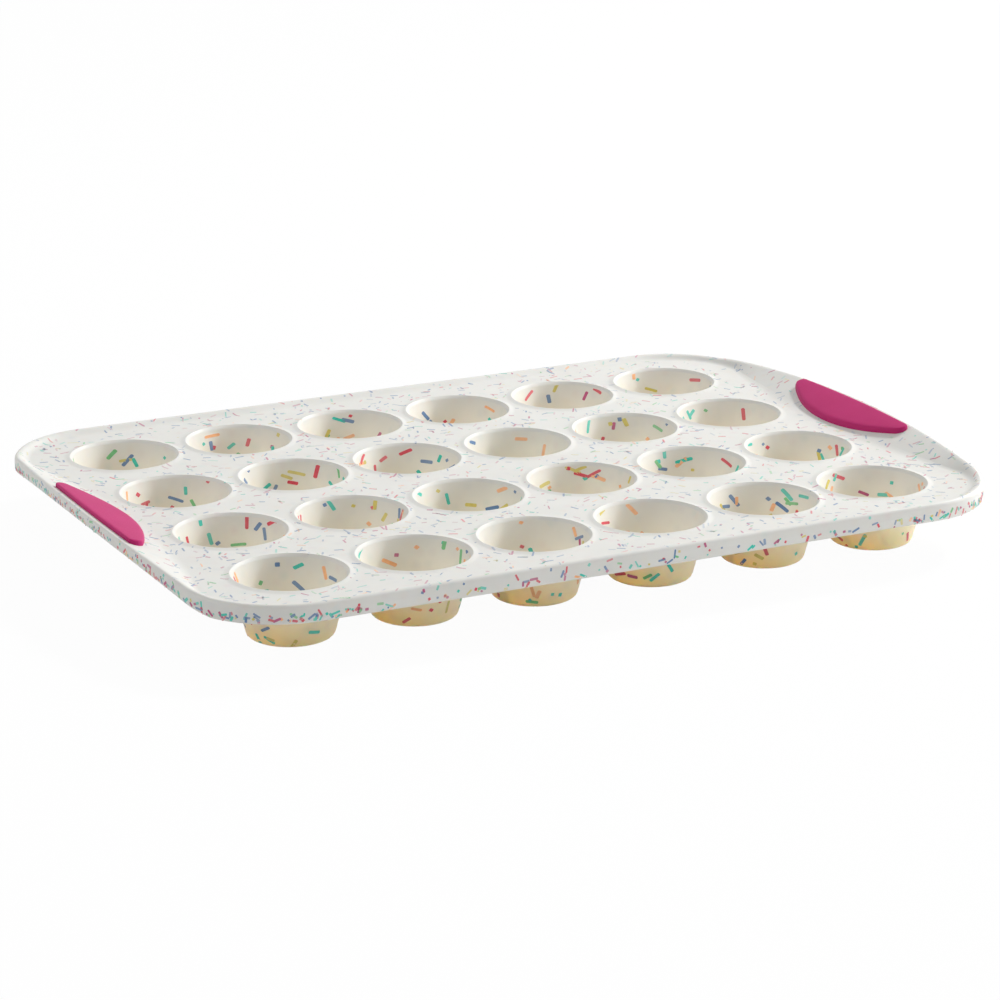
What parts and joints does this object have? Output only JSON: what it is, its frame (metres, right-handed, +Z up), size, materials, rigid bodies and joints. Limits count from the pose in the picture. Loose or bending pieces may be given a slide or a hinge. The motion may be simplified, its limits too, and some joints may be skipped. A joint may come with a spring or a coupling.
{
  "type": "mini muffin pan",
  "caption": "Flexible silicone mini muffin pan: a flat deck of round tapered cups inside a raised rim, with a wide raised handle and a coloured grip at each end.",
  "frame": {"origin": "centre of the pan's footprint, on the plane that the cup bottoms stand on", "axes": "+X along the length towards the right handle, +Y towards the back long side, +Z up out of the cups"},
  "size_m": [0.3586, 0.255, 0.0317],
  "materials": {
    "silicone": "cream-white silicone, satin, slightly translucent, with small sprinkle-like coloured flecks moulded in",
    "grip_silicone": "magenta silicone, matte satin",
    "steel_wire": "drawn steel wire, inside the rim"
  },
  "bodies": {
    "root": {"deck": "silicone", "rim_upper": "silicone", "rim_lower": "silicone", "rim_wire": "steel_wire", "grip_left": "grip_silicone", "grip_right": "grip_silicone", "cup_row1_col1": "silicone", "cup_row1_col2": "silicone", "cup_row1_col3": "silicone", "cup_row1_col4": "silicone", "cup_row1_col5": "silicone", "cup_row1_col6": "silicone", "cup_row2_col1": "silicone", "cup_row2_col2": "silicone", "cup_row2_col3": "silicone", "cup_row2_col4": "silicone", "cup_row2_col5": "silicone", "cup_row2_col6": "silicone", "cup_row3_col1": "silicone", "cup_row3_col2": "silicone", "cup_row3_col3": "silicone", "cup_row3_col4": "silicone", "cup_row3_col5": "silicone", "cup_row3_col6": "silicone", "cup_row4_col1": "silicone", "cup_row4_col2": "silicone", "cup_row4_col3": "silicone", "cup_row4_col4": "silicone", "cup_row4_col5": "silicone", "cup_row4_col6": "silicone"}
  },
  "joints": []
}
